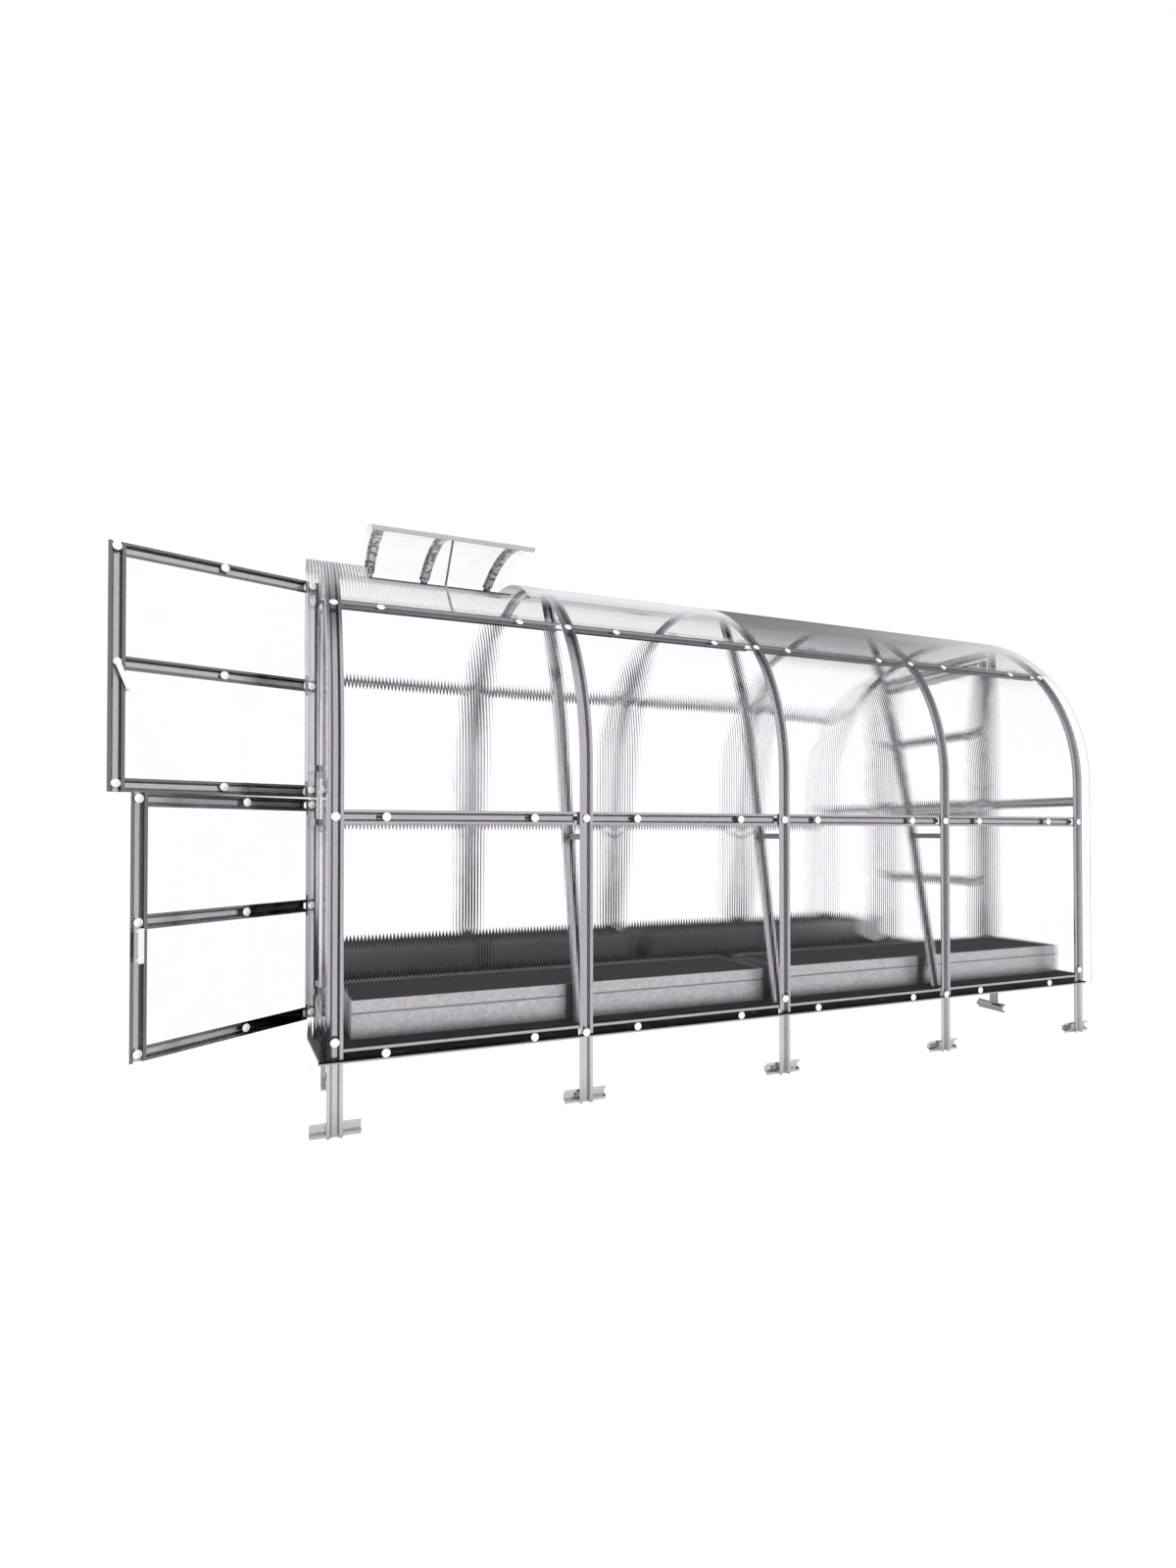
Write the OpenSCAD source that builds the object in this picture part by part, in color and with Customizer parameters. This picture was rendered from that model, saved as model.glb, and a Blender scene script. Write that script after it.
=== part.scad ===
// Arched greenhouse of galvanised hat profile and clear twin-wall sheet.
// X runs along the ridge, Y across, Z up. Z = 0 is the bottom of the legs,
// Y = 0 the outer plane of the near side wall frame, X = 0 the first arch.

/* [Overall] */
// Spacing of the arches
bay = 1000; // [900:10:1100]
// Width over the side wall frames
width = 2040; // [2000:10:2080]
// Height of the straight wall, from leg bottom to the spring of the arch
wall_h = 1410; // [1400:5:1430]
// Height of the base rail's centre, which is at ground level in use
base_z = 300; // [280:5:310]
// Height of the middle rail's centre
mid_z = 1193; // [1150:1:1230]
// Elevation angle of the upper purlin, seen from the arch's centre
purlin_a = 39.3; // [34:0.1:44]

/* [Profile] */
// Width of the hat profile of arches, posts, jambs and stiles
hat_w = 59; // [56:1:62]
// Width of the hat profile of the rails
rail_w = 54; // [50:1:56]
// Depth of both profiles
hat_d = 20; // [18:1:22]
// Width of the profile's web
web_w = 18; // [16:1:20]
// Wall thickness of the profile
hat_t = 2.5; // [2:0.1:3]

/* [Sheets] */
// Thickness of the twin-wall sheet
sheet_t = 4; // [4:1:4]
// How far the roof sheet stands out past each end arch's centre
overhang = 97; // [90:1:105]

/* [Doors] */
// Width of a door leaf
leaf_w = 800; // [790:1:805]
// Lower edge of the lower leaf
leaf_z0 = 313; // [313:1:320]
// Upper edge of the lower leaf
leaf_z1 = 1281; // [1270:1:1281]
// Lower edge of the upper leaf
leaf_z2 = 1289; // [1288:1:1295]
// Upper edge of the upper leaf
leaf_z3 = 2250; // [2240:1:2251]
// How far the left upper leaf stands open
open_upper = 108.1; // [0:0.1:150]
// How far the left lower leaf stands open
open_lower = 127.4; // [0:0.1:150]

/* [Roof vent] */
// How far the flap stands open
vent_a = 19.5; // [10:0.5:25]
// Length of the flap along the ridge
vent_l = 745; // [740:1:750]

/* [Beds] */
// Distance from the outer wall plane to the bed's front panel
bed_y = 112; // [112:1:120]
// Width of a bed
bed_w = 420; // [400:5:450]
// Top edge of the bed's panels
bed_top = 480; // [470:1:490]
// Lower edge of the bed's panels
bed_bottom = 330; // [330:1:335]

/* [Hidden] */
R = width / 2;              // outer radius of the arch, at its flanges
Ri = R - hat_d;             // radius of the arch's inner face
len_x = 4 * bay;
gx = -hat_w / 2;            // outer plane of the left gable frame
slope = 8;                  // run of the profile's sloping side
jamb_y = R - leaf_w / 2 - 8 - hat_w / 2;   // centre of the near jamb
open_y = jamb_y + hat_w / 2;               // near edge of the doorway
pin_x = gx - sheet_t - 4.5; // hinge axis, outside the gable sheet
pin_y = open_y + 4.5;
header_z = leaf_z3 + 39;
side_z = 1310;
sheet_z = base_z - 23;      // lower edge of the sheets
hinges = [leaf_z0 + 100, leaf_z1 - 118, leaf_z2 + 115, leaf_z3 - 106];
steel = "silver";
clear = [0.86, 0.92, 0.95, 0.35];

// ---- profile --------------------------------------------------------------

// Hat outline: u across, v from the open side (0) to the web (hat_d)
function hat(w, r = 0) = let (a = w / 2, b = web_w / 2, s = slope * (w / hat_w), k = 2.2)
    [[-a, 0], [-b - s, 0], [-b, hat_d - hat_t], [b, hat_d - hat_t], [b + s, 0], [a, 0],
     [a, hat_t], [b + s + k, hat_t], [b + k, hat_d], [-b - k, hat_d], [-b - s - k, hat_t], [-a, hat_t]];
// The same outline with v measured inward from a radius, for bent lengths
function hat_bent(w, r) = [for (p = hat(w)) [r - p[1], p[0]]];

// Upright, standing at the origin, open towards -Y
module upright(h, w = hat_w) linear_extrude(height = h) polygon(hat(w));
// Level, along +X from the origin, open towards -Y
module level_x(l, w = rail_w) rotate([0, 90, 0]) linear_extrude(height = l) polygon(hat(w));
// Level, along +Y from the origin, open towards -X
module level_y(l, w = rail_w) translate([0, l, 0]) rotate([0, 0, -90]) level_x(l, w);
// Upright, open towards -X
module upright_g(h, w = hat_w) rotate([0, 0, -90]) upright(h, w);
// Turns a shape drawn in the (Y, Z) plane, extruded along its own Z, to lie across the ridge
module across() rotate([90, 0, 90]) children();
// Everything inside the frame's inner face
module inside(r, x0, x1) union() {
    translate([x0, R - r, -1]) cube([x1 - x0, 2 * r, wall_h + 1]);
    translate([x0, R, wall_h]) across() cylinder(h = x1 - x0, r = r, $fn = 256);
}
module far_side() translate([0, width, 0]) mirror([0, 1, 0]) children();
module right_end() translate([len_x, 0, 0]) mirror([1, 0, 0]) children();
module both_sides() { children(); far_side() children(); }

// ---- frame ----------------------------------------------------------------

// One arch: leg and post, half circle, post and leg, all one profile
module arch(i) color(steel) translate([i * bay, 0, 0]) union() {
    upright(wall_h);
    far_side() upright(wall_h);
    translate([0, R, wall_h]) across()
        rotate_extrude(angle = 180, $fn = 360) polygon(hat_bent(hat_w, R));
}
module arch_1() arch(0);
module arch_2() arch(1);
module arch_3() arch(2);
module arch_4() arch(3);
module arch_5() arch(4);

strut_a = 10.5;             // lean of the strut's straight part
strut_y0 = 55;
strut_z0 = 300;
strut_l = 1255;             // length of the straight part
strut_r = 2700;             // radius of its bent part
// Stiffening strut inside an arch, from the base to the arch's shoulder
module strut() {
    sy = strut_y0 + strut_l * sin(strut_a);
    sz = strut_z0 + strut_l * cos(strut_a);
    intersection() {
        union() {
            translate([0, strut_y0, strut_z0]) rotate([-strut_a, 0, 0]) upright(strut_l);
            translate([0, sy + strut_r * cos(strut_a), sz - strut_r * sin(strut_a)]) across()
                rotate([0, 0, 180 - strut_a - 20])
                    rotate_extrude(angle = 20, $fn = 720) polygon(hat_bent(hat_w, strut_r));
        }
        inside(Ri, -100, 100);
    }
    // foot bracket and spacer to the post
    translate([-20, hat_d, 306]) cube([40, 44, 3]);
    translate([-12.5, hat_d, mid_z - 68]) cube([25, 205, 3]);
    translate([-12.5, hat_d, mid_z - 90]) cube([3, 178, 25]);
}
module strut_pair(i) color(steel) translate([i * bay, 0, 0]) both_sides() strut();
module strut_pair_2() strut_pair(1);
module strut_pair_3() strut_pair(2);
module strut_pair_4() strut_pair(3);

foot_l = 185;
// Crosspieces at the bottom of the side legs
module feet() color(steel) both_sides() for (i = [0 : 4])
    translate([i * bay - foot_l / 2 + 4, hat_d, rail_w / 2]) level_x(foot_l);

// A run of rails, one piece between each pair of arches. The web is cut back
// at one end, where the post's bolt needs room.
rail_l = bay - hat_w - 5;
module rail_run() for (i = [0 : 3]) translate([i * bay + hat_w / 2, 0, 0]) difference() {
    level_x(rail_l);
    translate([rail_l - 20, hat_t, -20]) cube([30, hat_d, 40]);
}
// The same run lying on the roof at elevation angle a
module roof_run(a) translate([0, R, wall_h]) rotate([-a, 0, 0]) translate([0, 0.5 - R, 0]) rail_run();
module base_rails() color(steel) both_sides() translate([0, 0, base_z]) rail_run();
module mid_rails() color(steel) both_sides() translate([0, 0, mid_z]) rail_run();
module upper_purlins() color(steel) both_sides() roof_run(purlin_a);
module ridge_purlin() color(steel) roof_run(90);

// ---- gables ---------------------------------------------------------------

// Jambs from the ground to the arch, each with its foot
module jambs() both_sides() union() {
    intersection() {
        translate([gx, jamb_y, 0]) upright_g(wall_h + R);
        inside(Ri, -100, 100);
    }
    translate([gx + hat_d, jamb_y - 95, rail_w / 2]) level_y(190);
}
// One rail from the corner post to the jamb, with the plate that fixes it to the post
module side_rail() {
    translate([gx, hat_d + 0.5, 0]) level_y(jamb_y - hat_w / 2 - hat_d - 0.5);
    translate([gx, hat_t, -rail_w / 2]) cube([hat_t, 40, rail_w]);
}
module gable_rails() {
    translate([gx, open_y, header_z]) level_y(width - 2 * open_y);
    translate([gx, open_y, base_z - 20]) level_y(width - 2 * open_y);
    both_sides() for (z = [base_z, side_z]) translate([0, 0, z]) side_rail();
}
module gable_jambs_left() color(steel) jambs();
module gable_rails_left() color(steel) gable_rails();
module gable_jambs_right() color(steel) right_end() jambs();
module gable_rails_right() color(steel) right_end() gable_rails();

// Panels beside and over the doorway, on the outside of the frame
module gable_panels() intersection() {
    union() {
        both_sides() translate([gx - sheet_t, 1, sheet_z]) cube([sheet_t, open_y - 12, 3000]);
        translate([gx - sheet_t, open_y - 10, header_z]) cube([sheet_t, width - 2 * open_y + 20, 1000]);
    }
    inside(R - 1, gx - sheet_t - 1, gx + 1);
}
module gable_sheets_left() color(clear) gable_panels();
module gable_sheets_right() color(clear) right_end() gable_panels();

// ---- roof and side sheets --------------------------------------------------

vent_y0 = 385;
vent_y1 = R - 10;
vent_x0 = 155;
vent_x1 = 880;
// One sheet bent from the ground over the arches to the ground
module bent_sheet(x0, x1) difference() {
    union() {
        translate([x0, -sheet_t, sheet_z]) cube([x1 - x0, width + 2 * sheet_t, wall_h - sheet_z]);
        translate([x0, R, wall_h]) across() cylinder(h = x1 - x0, r = R + sheet_t, $fn = 360);
    }
    translate([x0 - 1, 0, 0]) cube([x1 - x0 + 2, width, wall_h]);
    translate([x0 - 1, R, wall_h]) across() cylinder(h = x1 - x0 + 2, r = R, $fn = 360);
}
module roof_sheet_left() color(clear) difference() {
    bent_sheet(-overhang, 2 * bay - 0.5);
    translate([vent_x0, vent_y0, wall_h + 400]) cube([vent_x1 - vent_x0, vent_y1 - vent_y0, 1000]);
}
module roof_sheet_right() color(clear) bent_sheet(2 * bay + 0.5, len_x + overhang);

// ---- roof vent --------------------------------------------------------------

hy = R - 20;                // hinge line of the flap
hz = wall_h + R + 14;
flap_r = R + 16;            // outer radius of the flap's ribs
flap_a = 34;                // angle that the flap spans
vent_ribs = [202, 480, 814];
// Turns the closed flap up about its hinge line
module flap() translate([0, hy, hz]) rotate([-vent_a, 0, 0]) translate([0, -hy, -hz]) children();
module flap_arc(x, l, pts) translate([x, R, wall_h]) across()
    rotate([0, 0, 91.5]) rotate_extrude(angle = flap_a, $fn = 360) polygon(pts);
module vent_frame() color(steel) {
    flap() union() {
        for (x = vent_ribs) flap_arc(x, 0, hat_bent(50, flap_r));
        translate([0, R, wall_h]) rotate([91.5 + flap_a - 180, 0, 0])
            translate([vent_x0 + 10, 0.3 - flap_r, -3]) cube([730, 18, 22]);
    }
    // hinge brackets on the ridge purlin
    for (x = vent_ribs) translate([x - 18, R - 27, wall_h + R - 0.5]) cube([36, 17, 12.5]);
}
module vent_sheet() color(clear) flap()
    translate([150, R, wall_h]) across() rotate([0, 0, 91.5]) rotate_extrude(angle = flap_a + 0.5, $fn = 360)
        translate([flap_r, 0]) square([3, vent_l]);
// A bar between two points
module bar(p, q, r) let (d = q - p, l = norm(d))
    translate(p) rotate([0, acos(d[2] / l), atan2(d[1], d[0])]) cylinder(h = l, r = r, $fn = 24);
stay_pts = [[514, 403.2, 2443], [487, 430, 2251], [492, 262, 2050]];
module vent_stay() color("dimgray") union() {
    bar(stay_pts[0], stay_pts[1], 4.5);
    bar(stay_pts[1], stay_pts[2], 5.5);
    translate(stay_pts[1]) sphere(r = 6.5, $fn = 24);
}

// ---- seals --------------------------------------------------------------------

seal_t = 1.2;
// Foam strip in the channel of a base rail, drawn like the rail's own outline
seal_pts = [[-15.2, 2], [15.2, 2], [10.9, 12.4], [-10.9, 12.4]];
module channel_seal(l) rotate([0, 90, 0]) linear_extrude(height = l) polygon(seal_pts);
// Tape folded round the lower edge of a sheet, from (0, 0, 0) along +X; the sheet is towards +Y
module edge_tape(l) union() {
    translate([0, -seal_t, -seal_t]) cube([l, seal_t, 12 + seal_t]);
    translate([0, -seal_t / 2, -seal_t]) cube([l, sheet_t + seal_t / 2, seal_t]);
}
module gable_seals() both_sides() {
    translate([gx, jamb_y - hat_w / 2 - 1, base_z]) rotate([0, 0, -90]) channel_seal(jamb_y - hat_w / 2 - hat_t - 42);
    translate([gx - sheet_t, open_y - 11, sheet_z]) rotate([0, 0, -90]) edge_tape(open_y - 12);
}
module edge_seals() color([0.08, 0.08, 0.08]) {
    both_sides() {
        for (i = [0 : 3]) translate([i * bay + hat_w / 2 + 1, 0, base_z]) channel_seal(rail_l - 2);
        translate([-58, -sheet_t, sheet_z]) edge_tape(2 * bay + 57.5);
        translate([2 * bay + 0.5, -sheet_t, sheet_z]) edge_tape(2 * bay + 49.5);
    }
    gable_seals();
    right_end() gable_seals();
}

// ---- planting beds ----------------------------------------------------------

bed_t = 2;
bed_x = [[68, 1952], [2050, len_x - 22]];
module bed_side() for (b = bed_x) difference() {
    translate([b[0], bed_y, bed_bottom]) cube([b[1] - b[0], bed_w, bed_top - bed_bottom]);
    translate([b[0] + bed_t, bed_y + bed_t, bed_bottom - 1])
        cube([b[1] - b[0] - 2 * bed_t, bed_w - 2 * bed_t, bed_top]);
}
module soil_side() for (b = bed_x) translate([b[0] + bed_t, bed_y + bed_t, bed_bottom])
    cube([b[1] - b[0] - 2 * bed_t, bed_w - 2 * bed_t, bed_top - bed_bottom - 8]);
module bed_near() color("gainsboro") bed_side();
module bed_far() color("gainsboro") far_side() bed_side();
module soil_near() color([0.16, 0.14, 0.13]) soil_side();
module soil_far() color([0.16, 0.14, 0.13]) far_side() soil_side();
// Dark floor board inside the base frame, notched round the struts
floor_t = 12;
module floor_panel() color([0.2, 0.19, 0.19]) difference() {
    translate([-4, hat_d, bed_bottom - floor_t]) cube([len_x + 8, width - 2 * hat_d, floor_t]);
    both_sides() for (i = [1 : 3])
        translate([i * bay - hat_w / 2 - 3, hat_d - 1, bed_bottom - floor_t - 1]) cube([hat_w + 6, 72, floor_t + 2]);
}
// Angle cleats on the base rails' webs that carry the floor board
module floor_cleats() color(steel) both_sides() for (x = [120, 500, 880, 1120, 1500, 1880, 2120, 2500, 2880, 3120, 3500, 3880])
    translate([x - 20, hat_d, 0]) union() {
        translate([0, 0, base_z - 9]) cube([40, 3, 27]);
        translate([0, 0, bed_bottom - floor_t - 3]) cube([40, 45, 3]);
    }

// ---- doors -------------------------------------------------------------------
// A leaf is drawn closed, with the hinge axis at the origin: +Y to the free
// edge, +X inward.

s0 = 4;
leaf_d = sheet_t + 4.5;     // outer plane of the leaf's frame
knuckle_r = 4.5;
pin_r = 2.5;
module leaf_frame(z0, z1, zm) union() {
    for (s = [s0 + hat_w / 2, s0 + leaf_w - hat_w / 2])
        translate([leaf_d, s, z0]) upright_g(z1 - z0);
    for (z = [z0 + rail_w / 2, zm, z1 - rail_w / 2])
        translate([leaf_d, s0 + hat_w, z]) level_y(leaf_w - 2 * hat_w);
}
module leaf_sheet(z0, z1) translate([leaf_d - sheet_t, s0, z0]) cube([sheet_t, leaf_w, z1 - z0]);
// Moving hinge halves: plate on the leaf's sheet, knuckle round the pin
module leaf_hinges(h) for (z = h) difference() {
    union() {
        translate([0, 0, z + 0.5]) cylinder(h = 29.5, r = knuckle_r, $fn = 48);
        translate([leaf_d - sheet_t - 2, 0, z + 0.5]) cube([2, 42, 29.5]);
    }
    translate([0, 0, z - 1]) cylinder(h = 40, r = pin_r + 0.08, $fn = 48);
}
// Fixed hinge halves: plate on the gable sheet over the jamb, knuckle, pin
module fixed_hinges() translate([pin_x, pin_y, 0]) for (z = hinges) union() {
    translate([0, 0, z - 30]) cylinder(h = 29.5, r = knuckle_r, $fn = 48);
    translate([2.5, -44, z - 30]) cube([2, 44, 29.5]);
    translate([0, 0, z - 10]) cylinder(h = 40, r = pin_r, $fn = 48);
}
module hinge_pins_left() color(steel) fixed_hinges();
module hinge_pins_right() color(steel) right_end() fixed_hinges();

free_s = s0 + leaf_w - hat_w / 2;   // centre of the free stile
// Turning lever, on the outside and the inside
module lever(z) {
    // outside: the lever lies near the outer end of its hub; inside, near the inner end
    for (p = [[leaf_d - sheet_t - 22, 1], [leaf_d + hat_d, 11]]) translate([p[0], free_s, z]) union() {
        rotate([0, 90, 0]) cylinder(h = 22, r = 13, $fn = 48);
        translate([p[1], 0, 0]) rotate([-21.5, 0, 0]) translate([0, -9, -108]) cube([10, 18, 100]);
    }
}
// Straight pull: a flat bar on two short posts
module pull(z) translate([leaf_d - sheet_t, free_s + 8, z]) union() {
    translate([-30, -8.5, -143]) cube([8, 17, 124]);
    for (h = [-34, -136]) translate([-24, -5, h]) cube([24, 10, 8]);
}
module at_left(a) translate([pin_x, pin_y, 0]) rotate([0, 0, a]) children();
module at_right() right_end() translate([pin_x, pin_y, 0]) children();
um = 1785;
lm = 812;
module upper_frame() union() { leaf_frame(leaf_z2, leaf_z3, um); }
module lower_frame() union() { leaf_frame(leaf_z0, leaf_z1, lm); }
uh = [hinges[2], hinges[3]];
lh = [hinges[0], hinges[1]];
module left_upper_frame() color(steel) at_left(open_upper) { upper_frame(); leaf_hinges(uh); }
module left_lower_frame() color(steel) at_left(open_lower) { lower_frame(); leaf_hinges(lh); }
module right_upper_frame() color(steel) at_right() { upper_frame(); leaf_hinges(uh); }
module right_lower_frame() color(steel) at_right() { lower_frame(); leaf_hinges(lh); }
module left_upper_sheet() color(clear) at_left(open_upper) leaf_sheet(leaf_z2, leaf_z3);
module left_lower_sheet() color(clear) at_left(open_lower) leaf_sheet(leaf_z0, leaf_z1);
module right_upper_sheet() color(clear) at_right() leaf_sheet(leaf_z2, leaf_z3);
module right_lower_sheet() color(clear) at_right() leaf_sheet(leaf_z0, leaf_z1);
module left_upper_handle() color("white") at_left(open_upper) lever(um);
module left_lower_handle() color("white") at_left(open_lower) pull(lm);
module right_upper_handle() color("white") at_right() lever(um);
module right_lower_handle() color("white") at_right() pull(lm);

arch_1();
arch_2();
arch_3();
arch_4();
arch_5();
strut_pair_2();
strut_pair_3();
strut_pair_4();
feet();
base_rails();
mid_rails();
upper_purlins();
ridge_purlin();
gable_jambs_left();
gable_rails_left();
gable_jambs_right();
gable_rails_right();
roof_sheet_left();
roof_sheet_right();
gable_sheets_left();
gable_sheets_right();
vent_frame();
vent_sheet();
vent_stay();
edge_seals();
floor_panel();
floor_cleats();
bed_near();
bed_far();
soil_near();
soil_far();
hinge_pins_left();
hinge_pins_right();
left_upper_frame();
left_upper_sheet();
left_upper_handle();
left_lower_frame();
left_lower_sheet();
left_lower_handle();
right_upper_frame();
right_upper_sheet();
right_upper_handle();
right_lower_frame();
right_lower_sheet();
right_lower_handle();
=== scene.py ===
import math
import bpy
import bmesh
from mathutils import Vector, Matrix


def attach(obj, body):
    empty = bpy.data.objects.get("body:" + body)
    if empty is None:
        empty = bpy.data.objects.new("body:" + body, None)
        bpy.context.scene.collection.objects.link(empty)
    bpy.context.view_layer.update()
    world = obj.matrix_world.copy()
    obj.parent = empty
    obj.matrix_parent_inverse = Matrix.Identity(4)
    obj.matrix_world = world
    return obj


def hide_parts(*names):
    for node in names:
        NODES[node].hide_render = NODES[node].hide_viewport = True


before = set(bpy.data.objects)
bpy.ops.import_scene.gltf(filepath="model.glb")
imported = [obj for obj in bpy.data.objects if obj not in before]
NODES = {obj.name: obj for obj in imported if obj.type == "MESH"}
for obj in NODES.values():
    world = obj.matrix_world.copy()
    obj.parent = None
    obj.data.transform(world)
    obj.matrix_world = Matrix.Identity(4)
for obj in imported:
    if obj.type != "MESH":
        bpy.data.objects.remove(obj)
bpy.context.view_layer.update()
ROOT = "greenhouse"

# ---------------------------------------------------------------- sizes (m)
BAY, W, WALL, R = 1.0, 2.040, 1.410, 1.020
T = 0.004                       # sheet
BASE_Z, MID_Z = 0.300, 1.193
PURLIN_A = math.radians(39.3)
GX = -0.0295                    # outer plane of the left gable frame
SHEET_Z = 0.277
OVER = 0.097
PITCH = 0.0133                  # flute pitch
PIN_X, PIN_Y = -0.038, 0.6165
LEAF_D = 0.0085                 # from the hinge axis in to the leaf frame's outer plane
S0, LEAF_W, HAT_W = 0.004, 0.800, 0.059
JAMB_Y = 0.5825
OPEN = {"left_upper": math.radians(108.1), "left_lower": math.radians(127.4),
        "right_upper": 0.0, "right_lower": 0.0}

# ---------------------------------------------------------------- camera
cam = bpy.data.cameras.new("camera")
cam_ob = bpy.data.objects.new("camera", cam)
bpy.context.scene.collection.objects.link(cam_ob)
cam.sensor_width = 36.0
cam.lens = 765.396 * 36.0 / 1600.0
cam.shift_x = -0.0026
cam.shift_y = 0.0250
cam.clip_end = 200.0
cam_ob.location = (-0.146, -2.944, 1.1358)
cam_ob.rotation_euler = (math.pi / 2 + 0.0117, 0.0, -0.3788)
bpy.context.scene.camera = cam_ob

sc = bpy.context.scene
sc.view_settings.view_transform = "Standard"
sc.view_settings.look = "None"
sc.view_settings.exposure = 0.0
sc.view_settings.gamma = 1.0
try:
    sc.cycles.transparent_max_bounces = 96
    sc.cycles.max_bounces = 40
    sc.cycles.transmission_bounces = 40
    sc.cycles.glossy_bounces = 6
    sc.cycles.diffuse_bounces = 4
except AttributeError:
    pass


# ---------------------------------------------------------------- node help
class Tree:
    def __init__(self, name):
        self.mat = bpy.data.materials.new(name)
        self.mat.use_nodes = True
        self.nt = self.mat.node_tree
        self.nt.nodes.clear()
        self.out = self.nt.nodes.new("ShaderNodeOutputMaterial")

    def n(self, kind, **values):
        node = self.nt.nodes.new("ShaderNode" + kind)
        for k, v in values.items():
            setattr(node, k, v)
        return node

    def link(self, a, b):
        self.nt.links.new(a, b)

    def set(self, node, **sockets):
        for k, v in sockets.items():
            s = node.inputs[k.replace("_", " ")]
            if isinstance(v, bpy.types.NodeSocket):
                self.link(v, s)
            else:
                s.default_value = v
        return node

    def math(self, op, a, b=None, clamp=False):
        node = self.n("Math", operation=op, use_clamp=clamp)
        for i, v in enumerate((a, b)):
            if v is None:
                continue
            if isinstance(v, bpy.types.NodeSocket):
                self.link(v, node.inputs[i])
            else:
                node.inputs[i].default_value = v
        return node.outputs[0]

    def vmath(self, op, a, b=None):
        node = self.n("VectorMath", operation=op)
        for i, v in enumerate((a, b)):
            if v is None:
                continue
            if isinstance(v, bpy.types.NodeSocket):
                self.link(v, node.inputs[i])
            else:
                node.inputs[i].default_value = v
        return node.outputs["Value"] if op in ("DOT_PRODUCT", "LENGTH") else node.outputs[0]

    def scale(self, vec, f):
        node = self.n("VectorMath", operation="SCALE")
        self.link(vec, node.inputs[0]) if isinstance(vec, bpy.types.NodeSocket) else setattr(node.inputs[0], "default_value", vec)
        self.link(f, node.inputs["Scale"]) if isinstance(f, bpy.types.NodeSocket) else setattr(node.inputs["Scale"], "default_value", f)
        return node.outputs[0]

    def ramp(self, fac, stops, interp="LINEAR"):
        node = self.n("ValToRGB")
        cr = node.color_ramp
        cr.interpolation = interp
        while len(cr.elements) > 1:
            cr.elements.remove(cr.elements[-1])
        cr.elements[0].position = stops[0][0]
        cr.elements[0].color = grey(stops[0][1])
        for p, c in stops[1:]:
            e = cr.elements.new(p)
            e.color = grey(c)
        self.link(fac, node.inputs[0])
        return node.outputs[0]

    def mixc(self, fac, a, b, blend="MIX"):
        node = self.n("Mix", data_type="RGBA", blend_type=blend)
        for i, v in ((0, fac), (6, a), (7, b)):
            if isinstance(v, bpy.types.NodeSocket):
                self.link(v, node.inputs[i])
            elif i == 0:
                node.inputs[i].default_value = v
            else:
                node.inputs[i].default_value = grey(v)
        return node.outputs[2]

    def noise(self, vec, scale, detail=3.0, rough=0.5, out=0):
        node = self.n("TexNoise")
        self.link(vec, node.inputs["Vector"])
        node.inputs["Scale"].default_value = scale
        node.inputs["Detail"].default_value = detail
        node.inputs["Roughness"].default_value = rough
        return node.outputs[out]

    def obj(self):
        return self.n("TexCoord").outputs["Object"]


def grey(c):
    if isinstance(c, (int, float)):
        return (c, c, c, 1.0)
    return (c[0], c[1], c[2], 1.0)


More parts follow.
